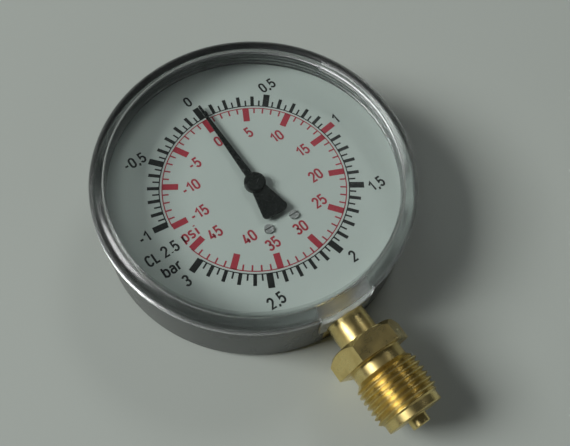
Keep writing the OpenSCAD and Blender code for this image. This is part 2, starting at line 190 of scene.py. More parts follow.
@dataclass(frozen=True)
class Finish(ABC):
    """A surface finish that becomes one material, made once."""

    name: str

    def material(self) -> bpy.types.Material:
        """The finish's material, which is made when it is first asked for."""
        known = bpy.data.materials.get(self.name)
        if known is not None:
            return known
        made = bpy.data.materials.new(self.name)
        graph = Graph(made)
        graph.show(self.shade(graph))
        return made

    @abstractmethod
    def shade(self, graph: Graph) -> Term:
        """Builds the shader.

        Args:
            graph: The empty material's graph.

        Returns:
            The surface shader.
        """


@dataclass(frozen=True)
class Noise:
    """Noise in cells per millimetre, all ways alike or along X, Y and Z."""

    cells: Cells
    detail: float = 2.0
    rise: Pair | None = None

    def on(self, graph: Graph) -> Term:
        """Adds the noise to a graph.

        Args:
            graph: The graph.

        Returns:
            A value from 0 to 1: the plain noise, or a smooth step between the levels of its rise.
        """
        coords = graph.node("ShaderNodeTexCoord", output="Object")
        stretch = (PER_MM * np.broadcast_to(self.cells, 3)).tolist()
        both = {0: coords, 1: stretch}
        placed = graph.node("ShaderNodeVectorMath", {"operation": "MULTIPLY"}, both)
        sockets = {"Vector": placed, "Scale": 1.0, "Detail": self.detail}
        value = graph.node("ShaderNodeTexNoise", None, sockets)
        return graph.step(value, *self.rise) if self.rise else value


@dataclass(frozen=True)
class Coating(Finish):
    """Moulded plastic, enamel, ink or paper: two near tones in clouds, with a fine grain."""

    base: Colour
    clouded: Colour
    rough: float = 0.42
    cloud: Noise = Noise(0.048)
    cloud_rough: float = 0.0
    grain: Noise = Noise(1.1)
    grain_rough: float = 0.08
    grain_depth: float = 0.004

    def shade(self, graph: Graph) -> Term:
        """Mixes the two tones by the clouds and presses the grain into the surface."""
        cloud = self.cloud.on(graph)
        grain = self.grain.on(graph)
        return graph.node(
            "ShaderNodeBsdfPrincipled",
            sockets={
                "Base Color": graph.mix(cloud, self.base, self.clouded),
                "Roughness": self.rough + self.cloud_rough * cloud + self.grain_rough * grain,
                "Normal": graph.bump(grain, self.grain_depth),
            },
        )


@dataclass(frozen=True)
class ClearPlastic(Finish):
    """Clear moulded plastic with a few hazy wiped patches; a flat part lets light straight through."""

    tint: Colour = rgb(0.975, 0.99, 0.985)
    refraction: float = 1.49
    lets_light: bool = True
    rough: float = 0.004
    haze: Noise = Noise((0.034, 0.082, 0.034), 4.0, (0.45, 0.75))
    haze_rough: float = 0.03
    flow: Noise = Noise(0.11, 1.0)
    flow_depth: float = 0.01

    def shade(self, graph: Graph) -> Term:
        """Glass; where it lets light through, shadow and diffuse rays pass a plain clear shader."""
        glass = graph.node(
            "ShaderNodeBsdfPrincipled",
            sockets={
                "Base Color": self.tint,
                "Roughness": self.rough + self.haze_rough * self.haze.on(graph),
                "IOR": self.refraction,
                "Transmission Weight": 1.0,
                "Normal": graph.bump(self.flow.on(graph), self.flow_depth),
            },
        )
        if not self.lets_light:
            return glass
        clear = graph.node("ShaderNodeBsdfTransparent", None, {"Color": self.tint})
        shadow = graph.node("ShaderNodeLightPath", output="Is Shadow Ray")
        diffuse = graph.node("ShaderNodeLightPath", output="Is Diffuse Ray")
        return graph.node("ShaderNodeMixShader", None, {0: shadow + diffuse, 1: glass, 2: clear})


@dataclass(frozen=True)
class Metal(Finish):
    """Worked metal: fine tool marks across one direction, tarnish in patches, and darker towards the
    root of a groove.
    """

    bright: Colour
    tarnish: Colour
    rough: float
    marks: Noise = Noise((0.17, 9.6, 0.17))
    mark_dull: float = 0.15
    mark_rough: float = 0.06
    mark_depth: float = 0.004
    patches: Noise = Noise(0.24, 4.0, (0.4, 0.75))
    patch_dull: float = 0.45
    patch_rough: float = 0.14
    grooved: bool = False
    groove_dull: float = 0.12

    def shade(self, graph: Graph) -> Term:
        """Mixes bright and tarnished metal by noise, and darkens it towards the root by the groove
        attribute if it has one.
        """
        marks = self.marks.on(graph)
        patches = self.patches.on(graph)
        dull = self.patch_dull * patches + self.mark_dull * marks
        if self.grooved:
            groove = graph.node("ShaderNodeAttribute", {"attribute_name": GROOVE}, output="Fac")
            dull = dull + self.groove_dull * groove
        return graph.node(
            "ShaderNodeBsdfPrincipled",
            sockets={
                "Base Color": graph.mix(dull, self.bright, self.tarnish),
                "Metallic": 1.0,
                "Roughness": self.rough + self.patch_rough * patches + self.mark_rough * marks,
                "Normal": graph.bump(marks, self.mark_depth),
            },
        )


class Finishes:
    """The gauge's finishes by what they are made of."""

    case = Coating(
        "case_moulding",
        rgb(0.058, 0.062, 0.06),
        rgb(0.07, 0.074, 0.072),
        rough=0.2,
        cloud=Noise(0.061, 3.0, (0.38, 0.68)),
        cloud_rough=0.1,
        grain=Noise(2.2),
        grain_rough=0.06,
        grain_depth=0.006,
    )
    window = ClearPlastic("window_plastic")
    # The rim's grey tint is painted shade: it darkens all that is seen through shoulder and ring,
    # though the moulding is one clear plastic.
    window_rim_painted_shade = ClearPlastic("window_rim_painted_shade", rgb(0.64, 0.66, 0.65), lets_light=False, rough=0.2)
    window_tab = ClearPlastic("window_tab", lets_light=False, rough=0.4)
    dial = Coating("dial_enamel", rgb(0.53, 0.6, 0.56), rgb(0.51, 0.58, 0.54))
    black_ink = Coating("black_ink", rgb(0.006, 0.008, 0.007), rgb(0.01, 0.013, 0.011), 0.3)
    red_ink = Coating("red_ink", rgb(0.4, 0.035, 0.055), rgb(0.34, 0.03, 0.046), 0.4)
    pointer = Coating("pointer_paint", rgb(0.004, 0.006, 0.005), rgb(0.008, 0.011, 0.009), 0.24)
    turned_brass = Metal(
        "turned_brass", rgb(0.78, 0.63, 0.27), rgb(0.42, 0.31, 0.09), 0.24, grooved=True
    )
    plate_brass = Metal(
        "plate_brass", rgb(0.72, 0.52, 0.24), rgb(0.63, 0.45, 0.2), 0.26, Noise((9.0, 0.3, 0.3))
    )
    tube_bronze = Metal(
        "tube_bronze", rgb(0.63, 0.4, 0.22), rgb(0.42, 0.23, 0.1), 0.24, Noise((0.3, 0.3, 9.0))
    )
    steel = Metal(
        "screw_steel", rgb(0.56, 0.57, 0.58), rgb(0.36, 0.36, 0.36), 0.26, Noise((6.0, 0.5, 0.5))
    )
    dull_zinc = Metal(
        "dull_zinc", rgb(0.34, 0.36, 0.35), rgb(0.22, 0.235, 0.225), 0.42, Noise((6.0, 0.5, 0.5))
    )
    floor = Coating(
        "floor_paper",
        rgb(0.5, 0.545, 0.5),
        rgb(0.485, 0.53, 0.485),
        rough=0.7,
        cloud=Noise(0.0082, 3.0),
        grain_rough=0.0,
        grain_depth=0.0,
    )


@dataclass
class Skin:
    """A surface held as whole arrays: points in millimetres and the corner numbers of its faces."""

    points: np.ndarray
    faces: list[list[int]]

    @staticmethod
    def quads(rows: np.ndarray) -> np.ndarray:
        """Corner numbers of the quads between rows of points that each run once round.

        The quad at row i and column j joins (i, j), (i, j+1), (i+1, j+1) and (i+1, j), rows and
        columns both counted round.

        Args:
            rows: Points as an array of rows, columns and three coordinates.

        Returns:
            Four numbers for each row and column.
        """
        numbers = np.arange(rows.shape[0] * rows.shape[1]).reshape(rows.shape[:2])
        pair = np.stack([numbers, np.roll(numbers, -1, axis=1)], axis=-1)
        return np.concatenate([pair, np.roll(pair, -1, axis=0)[..., ::-1]], axis=-1)

    @staticmethod
    def ring_rows(rows: np.ndarray) -> Skin:
        """Closed skin over rows of points that each run once round, with a pole at both ends.

        A fan from the row's mean point closes the first and the last row. The faces are turned
        outwards by the sign of the enclosed volume.

        Args:
            rows: Points as an array of rows, columns and three coordinates.

        Returns:
            The skin.
        """
        count, columns = rows.shape[:2]
        here = np.arange(columns)
        following = np.roll(here, -1)
        quads = Skin.quads(rows)[:-1].reshape(-1, 4)
        poles = np.stack([rows[0].mean(axis=0), rows[-1].mean(axis=0)])
        first, last = count * columns, count * columns + 1
        near = np.stack([np.full(columns, first), following, here], axis=-1)
        far = (count - 1) * columns
        end = np.stack([np.full(columns, last), far + here, far + following], axis=-1)
        points = np.concatenate([rows.reshape(-1, 3), poles])
        triangles = np.concatenate([quads[:, [0, 1, 2]], quads[:, [0, 2, 3]], near, end])
        corner = points[triangles]
        volume = np.einsum("ij,ij->i", corner[:, 0], np.cross(corner[:, 1], corner[:, 2])).sum()
        faces = [quads, near, end]
        if volume < 0:
            faces = [group[:, ::-1] for group in faces]
        return Skin(points, [face for group in faces for face in group.tolist()])

    @staticmethod
    def looped_rows(rows: np.ndarray) -> Skin:
        """Closed skin over rows of points that each run once round, the last row joined to the first.

        Args:
            rows: Points as an array of rows, columns and three coordinates, in outward order.

        Returns:
            The skin.
        """
        return Skin(rows.reshape(-1, 3), Skin.quads(rows).reshape(-1, 4).tolist())

    @staticmethod
    def join(skins: Sequence[Skin]) -> Skin:
        """Puts several skins into one, with the corner numbers moved on."""
        faces: list[list[int]] = []
        offset = 0
        for skin in skins:
            faces.extend([[corner + offset for corner in face] for face in skin.faces])
            offset += len(skin.points)
        return Skin(np.concatenate([skin.points for skin in skins]), faces)

    def piece(self, name: str, body: str | None, finish: Finish) -> bpy.types.Object:
        """Makes the skin an object.

        Args:
            name: The piece's name.
            body: The body that it rides on, or None for a piece that rides on none.
            finish: What it is dressed in.

        Returns:
            The object, with its place in its mesh.
        """
        mesh = bpy.data.meshes.new(name)
        mesh.from_pydata((self.points * MM).tolist(), [], self.faces)
        mesh.validate()
        weld = bmesh.new()
        weld.from_mesh(mesh)
        bmesh.ops.remove_doubles(weld, verts=weld.verts, dist=WELD)
        weld.to_mesh(mesh)
        weld.free()
        mesh.shade_smooth()
        mesh.set_sharp_from_angle(angle=SHARP_ANGLE)
        mesh.materials.append(finish.material())
        made = added(name, mesh)
        LOG.info("%s: %d faces", name, len(mesh.polygons))
        if body is not None:
            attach(made, body)
        return made


def softened(profile: Sequence[Pair], edge: float) -> np.ndarray:
    """Breaks the corners of a profile.

    Each inner point p gives way to two points, p - e u and p + e v, with u and v the directions of
    the lines before and after it, and e the edge or a third of the shorter line.

    Args:
        profile: Points along the profile.
        edge: Width of the broken corner.

    Returns:
        The points of the softened profile.
    """
    points = np.asarray(profile, float)
    lines = np.diff(points, axis=0)
    length = np.linalg.norm(lines, axis=1)
    unit = lines / length[:, None]
    reach = np.minimum(edge, np.minimum(length[:-1], length[1:]) / 3.0)[:, None]
    pairs = np.stack([points[1:-1] - reach * unit[:-1], points[1:-1] + reach * unit[1:]], axis=1)
    return np.concatenate([points[:1], pairs.reshape(-1, 2), points[-1:]])


@dataclass
class Window:
    """Clear window: disc, rounded shoulder, ring pushed into the case, key and tab over the stem."""

    rim_out: float = 51.25
    ring_out: float = 48.45
    ring_in: float = 46.95
    ring_low: float = 19.2
    tab_in: float = 50.55
    key_low: float = 20.25
    top: float = 30.6
    under: float = 27.5
    seat: float = 24.24
    shoulder: float = 5.0
    tab_half: float = 9.3
    tab_low: float = 12.3
    neck_hole: float = 6.8
    stem_height: float = 13.9
    edge: float = 0.22
    corner: float = 1.2
    ribs: int = 3
    rib_depth: float = 0.3
    columns: int = 360
    tab_columns: int = 81
    shoulder_steps: int = 25
    edge_steps: int = 5
    corner_steps: int = 8
    rib_steps: int = 10
    side_step: float = 0.0006
    disc_parts: tuple[float, ...] = (0.2, 0.5, 0.8, 0.93)
    face_parts: tuple[float, ...] = (0.33, 0.66, 1.0)

    def angles(self) -> np.ndarray:
        """Angles from 6 o'clock: even steps, and a close pair at each side of the tab and its hole."""
        even = np.linspace(-np.pi, np.pi, self.columns, endpoint=False)
        sides = np.arcsin(np.array([self.neck_hole, self.tab_half]) / self.rim_out)
        pairs = np.concatenate([sides - self.side_step, sides + self.side_step])
        fine = np.linspace(-sides[1], sides[1], self.tab_columns)[1:-1]
        return np.unique(np.concatenate([even, pairs, -pairs, fine]))

    def low_edge(self, across: np.ndarray) -> np.ndarray:
        """Height of the outer face's lower edge: seat, tab's end or arch over the neck.

        The arch is stem_height + sqrt(neck_hole^2 - across^2), kept under the key.

        Args:
            across: Sideways distance from the stem's middle line.

        Returns:
            The height at each distance.
        """
        arch = self.stem_height + np.sqrt(np.maximum(self.neck_hole**2 - across**2, 0.0))
        under_key = np.minimum(arch, self.key_low - self.edge)
        leg = np.where(across < self.neck_hole, under_key, self.tab_low)
        return np.where(across < self.tab_half, leg, self.seat)

    def outside(self, low: np.ndarray) -> Rows:
        """Rows from the middle of the top over the shoulder and down the outer face.

        The shoulder's arc is r = flat + s sin t and z = top - s + s cos t, with t from 0 to a
        right angle.

        Args:
            low: Height of the outer face's lower edge at each angle.

        Returns:
            Rows of radii and heights.
        """
        even = np.ones_like(low)
        flat = self.rim_out - self.shoulder
        foot = self.top - self.shoulder
        rows = [(even * part * flat, even * self.top) for part in self.disc_parts]
        for turn in quarter(self.shoulder_steps):
            radius = flat + self.shoulder * np.sin(turn)
            rows.append((even * radius, even * (foot + self.shoulder * np.cos(turn))))
        for part in self.face_parts:
            rows.append((even * self.rim_out, foot + part * (low + self.edge - foot)))
        for turn in quarter(self.edge_steps)[1:]:
            radius = self.rim_out - self.edge * (1 - np.cos(turn))
            rows.append((even * radius, low + self.edge * (1 - np.sin(turn))))
        return rows

    def inside(self, low: np.ndarray, in_tab: np.ndarray) -> Rows:
        """Rows from the lower edge round the push-in ring or the key, and back to the middle below.

        The ring's outer face has ribs: it stands back by depth (1 - cos 2 pi ribs u) / 2, with u from 0
        at its top to 1 at its foot.

        Args:
            low: Height of the outer face's lower edge at each angle.
            in_tab: Where the tab is.

        Returns:
            Rows of radii and heights.
        """
        even = np.ones_like(low)
        ease = np.where(in_tab, self.edge / 3, 0.0)
        wall = np.where(in_tab, self.tab_in, self.ring_out)
        foot = np.where(in_tab, self.key_low, self.ring_low)
        head = low + ease - self.edge / 9
        end = np.where(in_tab, self.key_low, self.ring_low + self.edge)
        depth = np.where(in_tab, 0.0, self.rib_depth)
        rows = [(wall + ease, low)]
        for part in np.linspace(0.0, 1.0, self.rib_steps * self.ribs + 1):
            back = depth * (1 - math.cos(2 * math.pi * self.ribs * part)) / 2
            rows.append((wall - back, head + part * (end - head)))
        rows += [
            (even * self.ring_out, foot + np.where(in_tab, 0.0, self.edge)),
            (even * (self.ring_out - self.edge), foot),
            (even * (self.ring_in + self.edge), foot),
            (even * self.ring_in, foot + self.edge),
        ]
        for turn in quarter(self.corner_steps):
            radius = self.ring_in - self.corner * (1 - np.cos(turn))
            height = self.under - self.corner * (1 - np.sin(turn))
            rows.append((even * radius, even * height))
        rows += [(even * part * self.ring_in, even * self.under) for part in reversed(self.disc_parts)]
        return rows

    def skin(self) -> Skin:
        """Revolves the window's section, whose lower edge changes with the angle.

        With a the angle from 6 o'clock, a row at radius r and height z gives the point
        (r sin a, -r cos a, z).

        Returns:
            The window's closed skin.
        """
        angle = self.angles()
        across = np.where(np.cos(angle) > 0, np.abs(self.rim_out * np.sin(angle)), self.rim_out)
        low = self.low_edge(across)
        rows = self.outside(low) + self.inside(low, across < self.tab_half)
        radius, height = np.stack(rows, axis=1)
        points = np.stack([radius * np.sin(angle), -radius * np.cos(angle), height], axis=-1)
        return Skin.ring_rows(points)

    def dress_rim(self, made: bpy.types.Object) -> None:
        """Gives shoulder and ring the glass that shades the dial's edge, tinted grey as painted shade,
        and key and tab a matt one.

        Args:
            made: The window's object.
        """
        faces = made.data.polygons
        middles = np.zeros(len(faces) * 3)
        faces.foreach_get("center", middles)
        middles = middles.reshape(-1, 3) / MM
        radius = np.hypot(middles[:, 0], middles[:, 1])
        rim = radius > self.rim_out - self.shoulder
        over_stem = (np.abs(middles[:, 0]) < self.tab_half) & (middles[:, 1] < 0.0)
        below = middles[:, 2] < self.seat + self.shoulder / 2
        tab = over_stem & below & (radius > self.ring_in - self.edge)
        slots = np.zeros(len(faces), np.int32)
        for finish, dressed in ((Finishes.window_rim_painted_shade, rim), (Finishes.window_tab, tab)):
            slots[dressed] = len(made.data.materials)
            made.data.materials.append(finish.material())
        faces.foreach_set("material_index", slots)

    def build(self) -> None:
        """Makes the window in place of its plain solid."""
        made = self.skin().piece("window_moulding", "gauge_body", Finishes.window)
        self.dress_rim(made)
        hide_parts("window")


@dataclass
class Socket:
    """Brass socket: block and tongue in the case, neck, hexagon, threaded stem and pressure port."""

    height: float = 13.9
    columns: int = 192
    neck_r: float = 6.5
    neck_start: float = 49.0
    hex_start: float = 59.2
    hex_end: float = 66.0
    hex_across: float = 22.0
    relief_r: float = 8.6
    thread_start: float = 69.8
    thread_end: float = 83.4
    thread_r: float = 10.48
    pitch: float = 1.814
    thread_depth: float = 1.162
    rows_per_mm: float = 14.0
    lead_r: float = 9.1
    lead_end: float = 86.0
    spigot_r: float = 3.0
    tip: float = 89.0
    port_r: float = 1.6
    port_end: float = 67.5
    edge: float = 0.26
    block: tuple[float, float, float, float] = (-6.85, 6.85, 2.3, 16.6)
    block_run: Pair = (-49.9, -34.4)
    tongue: tuple[float, float, float, float] = (-8.5, 8.5, 3.8, 6.4)
    tongue_run: Pair = (-34.9, 19.6)
    bar_columns: int = 96
    bar_power: float = 0.12

    def turned(self, *profile: Pair) -> Rows:
        """Rows of a turned part, with its corners broken.

        Args:
            profile: Distance along the stem and radius of each corner.

        Returns:
            A row of distances and a row of radii for each point of the profile.
        """
        even = np.ones(self.columns)
        return [(even * along, even * radius) for along, radius in softened(profile, self.edge)]

    def hexagon(self, angle: np.ndarray) -> Rows:
        """Rows of the hexagon.

        Its radius is half the width across flats over the cosine of the angle from the nearest flat's
        middle. Towards the neck its corners are turned off at 45 degrees, so each face starts later by
        as much as it stands out over the flats.

        Args:
            angle: Angle from the top of the stem.

        Returns:
            Rows of distances and radii.
        """
        half = self.hex_across / 2
        sixth = np.pi / 3
        rim = half / np.cos((angle + sixth / 2) % sixth - sixth / 2)
        turned = self.hex_start + rim - half
        even = np.ones(self.columns)
        bevel = self.edge / 3
        return [
            (even * self.hex_start, even * (half - self.edge)),
            (turned + bevel, rim - bevel),
            (turned + 2 * bevel, rim),
            (even * (self.hex_end - bevel), rim),
            (even * self.hex_end, rim - bevel),
        ]

    def thread(self, angle: np.ndarray) -> Rows:
        """Rows of the right-handed thread.

        The radius is root + depth (1 + cos 2 pi (s / pitch + a / 2 pi)) / 2 at distance s and angle a,
        held under a 45 degree chamfer at both ends.

        Args:
            angle: Angle from the top of the stem.

        Returns:
            Rows of distances and radii.
        """
        run = self.thread_end - self.thread_start
        along = np.linspace(self.thread_start, self.thread_end, int(run * self.rows_per_mm))[:, None]
        wave = np.cos(2 * np.pi * along / self.pitch + angle[None, :])
        rough = self.thread_r - self.thread_depth * (1 - wave) / 2
        from_start = self.relief_r + along - self.thread_start
        from_end = self.lead_r + self.thread_end - along
        radius = np.minimum(rough, np.minimum(from_start, from_end))
        return list(zip(np.broadcast_to(along, radius.shape), radius))

    def stem(self) -> Skin:
        """Lays all turned rows, the hexagon and the thread one after another.

        A row at distance s and radius r gives the points (r sin a, -s, height + r cos a).

        Returns:
            The stem's closed skin.
        """
        angle = np.linspace(0.0, 2 * np.pi, self.columns, endpoint=False)
        face = self.hex_across / 2 - 2 * self.edge
        rows = self.turned(
            (self.neck_start, self.port_r),
            (self.neck_start, self.neck_r),
            (self.hex_start, self.neck_r),
            (self.hex_start, face),
        )
        rows += self.hexagon(angle)
        rows += self.turned(
            (self.hex_end, face),
            (self.hex_end, self.relief_r),
            (self.thread_start, self.relief_r),
        )
        rows += self.thread(angle)
        rows += self.turned(
            (self.thread_end, self.lead_r),
            (self.lead_end, self.lead_r),
            (self.lead_end, self.spigot_r),
            (self.tip, self.spigot_r),
            (self.tip, self.port_r),
            (self.port_end, self.port_r),
            (self.port_end, self.port_r / 4),
        )
        along, radius = np.stack(rows, axis=1)
        height = self.height + radius * np.cos(angle)
        return Skin.ring_rows(np.stack([radius * np.sin(angle), -along, height], axis=-1))

    def bar(self, section: tuple[float, float, float, float], run: Pair) -> Skin:
        """Carries a rectangle with rounded corners along Y.

        The section is a superellipse: x = middle + half |cos t|^p sign(cos t), and z the same with
        the sine. The power p is small, so that its corners are softly broken.

        Args:
            section: Lowest and highest X, then lowest and highest Z.
            run: Where the bar starts and ends along Y.

        Returns:
            The bar's closed skin.
        """
        turn = np.linspace(0.0, 2 * np.pi, self.bar_columns, endpoint=False)
        left, right, low, high = section
        unit = np.stack([np.cos(turn), np.sin(turn)])
        shape = np.sign(unit) * np.abs(unit) ** self.bar_power
        end = 1.0 - self.edge / (high - low)
        inset = np.array([end, 1.0, 1.0, end])[:, None]
        along = np.array([run[0], run[0] + self.edge, run[1] - self.edge, run[1]])[:, None]
        x = (left + right) / 2 + inset * (right - left) / 2 * shape[0]
        z = (low + high) / 2 + inset * (high - low) / 2 * shape[1]
        return Skin.ring_rows(np.stack([x, np.broadcast_to(along, x.shape), z], axis=-1))

    def groove(self, points: np.ndarray) -> np.ndarray:
        """Depth of each point in the thread: 0 on the crest and outside the thread, 1 at the root."""
        radius = np.hypot(points[:, 0], points[:, 2] - self.height)
        along = -points[:, 1]
        threaded = (along > self.thread_start) & (along < self.thread_end)
        depth = (self.thread_r - radius) / self.thread_depth
        return np.where(threaded, np.clip(depth, 0.0, 1.0), 0.0)

    def build(self) -> None:
        """Makes the socket in place of its plain solid and notes its grooves for the finish."""
        block = self.bar(self.block, self.block_run)
        tongue = self.bar(self.tongue, self.tongue_run)
        skin = Skin.join([self.stem(), block, tongue])
        made = skin.piece("socket_brass", "gauge_body", Finishes.turned_brass)
        points = np.array([point.co for point in made.data.vertices]) / MM
        notes = made.data.attributes.new(GROOVE, "FLOAT", "POINT")
        notes.data.foreach_set("value", self.groove(points).astype(np.float32))
        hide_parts("socket")


@dataclass
class PressureTube:
    """Flattened bronze tube that unbends under pressure, curved round the dial's axis from its root to
    its free end.
    """

    radius: float = 38.0
    depth: float = 3.2
    height: float = 9.7
    wall: float = 0.5
    middle: float = 9.8
    root: float = 3.0
    free: float = 295.0
    steps: int = 146
    columns: int = 48
    bend_way: Triple = (0.9, 0.436, 0.0)
    bend_from: float = -18.0
    bend_to: float = 23.5

    def outline(self, inset: float) -> np.ndarray:
        """Closed outline of the section, as distances from the dial's axis and heights.

        The point at turn t is (radius + h cos t, middle + h sin t + s), with h the half depth less the
        inset and s half the straight length, upwards or downwards with the sign of sin t.

        Args:
            inset: How far inside the outer skin the outline lies.

        Returns:
            One distance and one height per column.
        """
        turn = (np.arange(self.columns) + 0.5) * 2 * np.pi / self.columns
        half = self.depth / 2 - inset
        straight = (self.height - self.depth) / 2
        rise = half * np.sin(turn) + straight * np.sign(np.sin(turn))
        return np.stack([self.radius + half * np.cos(turn), self.middle + rise])

    def skin(self) -> Skin:
        """Carries the outline clockwise from the root to the free end outside, and back inside.

        A distance r and a height z give the point (-r sin a, -r cos a, z) at angle a from 6 o'clock.

        Returns:
            The tube's closed skin.
        """
        angle = np.radians(np.linspace(self.root, self.free, self.steps + 1))[:, None]
        walls = []
        for inset, way in ((0.0, angle), (self.wall, angle[::-1])):
            distance, height = self.outline(inset)
            rise = np.broadcast_to(height, (len(way), self.columns))
            walls.append(np.stack([-distance * np.sin(way), -distance * np.cos(way), rise], axis=-1))
        return Skin.looped_rows(np.concatenate(walls))

    def build(self) -> None:
        """Makes the tube in place of its rigid solid."""
        made = self.skin().piece("pressure_tube", None, Finishes.tube_bronze)
        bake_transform(made)
        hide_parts("bourdon_tube")


def arc(middle: Pair, reach: Pair, start: float, end: float) -> np.ndarray:
    """Points on an ellipse's arc.

    Args:
        middle: The ellipse's middle.
        reach: Its half width and half height.
        start: Angle in degrees of the first point, from +X towards +Y.
        end: Angle of the last point.

    Returns:
        The points, about ARC_STEP degrees apart.
    """
    count = max(3, int(abs(end - start) / ARC_STEP) + 1)
    turn = np.radians(np.linspace(start, end, count))
    return np.array(middle) + np.array(reach) * np.stack([np.cos(turn), np.sin(turn)], axis=-1)


def path(*parts: Sequence[Any]) -> np.ndarray:
    """Joins points and arcs into one line."""
    return np.concatenate([np.atleast_2d(np.asarray(part, float)) for part in parts])


@dataclass
class Lettering:
    """Plain narrow stroke letters on a cell one wide and one high."""

    height: float = 3.35
    width: float = 1.5
    stroke: float = 0.66
    gap: float = 0.8
    shapes: dict[str, list[np.ndarray]] = field(default_factory=dict)
    widths: dict[str, float] = field(default_factory=dict)

    def __post_init__(self) -> None:
        """Draws every sign that the dial needs."""
        bowl = path(arc((0.5, 0.46), (0.5, 0.26), 180, 0), arc((0.5, 0.26), (0.5, 0.26), 0, -180))
        oval = path(arc((0.5, 0.72), (0.5, 0.28), 180, 0), arc((0.5, 0.28), (0.5, 0.28), 0, -180))
        self.shapes = {
            "0": [path(oval, oval[0])],
            "1": [path([0.0, 0.7], [0.62, 1.0], [0.62, 0.0])],
            "2": [path(arc((0.5, 0.72), (0.48, 0.28), 172, -28), [0.0, 0.0], [1.0, 0.0])],
            "3": [
                path(arc((0.46, 0.76), (0.46, 0.24), 160, -90)),
                path([0.3, 0.52], arc((0.46, 0.26), (0.52, 0.26), 90, -160)),
            ],
            "4": [path([0.55, 1.0], [0.0, 0.24], [1.05, 0.24]), path([0.74, 0.5], [0.74, 0.0])],
            "5": [
                path([0.95, 1.0], [0.1, 1.0], [0.05, 0.5], arc((0.48, 0.31), (0.52, 0.31), 120, -155)),
            ],
            "-": [path([0.1, 0.42], [0.8, 0.42])],
            ",": [path([0.32, 0.06], [0.1, -0.2])],
            ".": [path([0.2, 0.0], [0.2, 0.1])],
            "C": [path(arc((0.5, 0.7), (0.5, 0.3), 20, 180), arc((0.5, 0.3), (0.5, 0.3), 180, 340))],
            "L": [path([0.05, 1.0], [0.05, 0.0], [0.9, 0.0])],
            "b": [path([0.0, 1.0], [0.0, 0.0]), path(bowl, bowl[0])],
            "p": [path([0.0, 0.72], [0.0, -0.26]), path(bowl, bowl[0])],
            "a": [
                path(arc((0.5, 0.48), (0.45, 0.24), 150, 0), [0.95, 0.0]),
                path([0.95, 0.42], arc((0.46, 0.21), (0.44, 0.21), 90, 270), [0.95, 0.06]),
            ],
            "r": [path([0.1, 0.72], [0.1, 0.0]), path(arc((0.65, 0.46), (0.55, 0.26), 180, 75))],
            "s": [
                path(arc((0.5, 0.54), (0.44, 0.18), 30, 270), arc((0.5, 0.18), (0.46, 0.18), 90, -150)),
            ],
            "i": [path([0.3, 0.72], [0.3, 0.0]), path([0.3, 0.93], [0.3, 1.04])],
        }
        self.widths = {"1": 0.8, "-": 0.85, ",": 0.3, ".": 0.3, " ": 0.2, "r": 0.75, "i": 0.5, "L": 0.9}

    def lines(self, words: str, middle: Pair) -> list[np.ndarray]:
        """Lays a line of signs out about its middle.

        Args:
            words: The signs.
            middle: Middle of the line on the dial.

        Returns:
            The strokes' points on the dial.
        """
        steps = [self.widths.get(sign, 1.0) * self.width for sign in words]
        total = sum(steps) + self.gap * (len(words) - 1)
        cursor = middle[0] - total / 2
        floor = middle[1] - self.height / 2
        strokes: list[np.ndarray] = []
        for sign, step in zip(words, steps):
            scale = np.array([self.width, self.height])
            strokes += [shape * scale + (cursor, floor) for shape in self.shapes.get(sign, [])]
            cursor += step + self.gap
        return strokes


class Ink(Enum):
    """The dial's two printing inks."""

    BLACK = "black"
    RED = "red"

    def finish(self) -> Finish:
        """The finish of this ink."""
        return Finishes.black_ink if self is Ink.BLACK else Finishes.red_ink


@dataclass
class Scale:
    """One ring of division marks: an arc with marks on one side."""

    ink: Ink
    line_r: float
    line_w: float
    outward: int
    first: float
    last: float
    per_reading: float
    divisions: list[Triple]
    other_ink: tuple[float, ...] = ()

    def angle(self, reading: np.ndarray) -> np.ndarray:
        """Clockwise angle from 12 o'clock of a reading, in radians."""
        return np.radians(reading * self.per_reading)

    def marks(self) -> list[np.ndarray]:
        """Readings of every kind of mark, coarse first; one with a coarse mark gets no finer one.

        Returns:
            The readings of each kind of mark.
        """
        groups: list[np.ndarray] = []
        taken = np.array([])
        for spacing, _, _ in self.divisions:
            count = round((self.last - self.first) / spacing)
            readings = np.round(np.linspace(self.first, self.last, count + 1), READING_DIGITS)
            groups.append(np.setdiff1d(readings, taken))
            taken = np.union1d(taken, readings)
        return groups


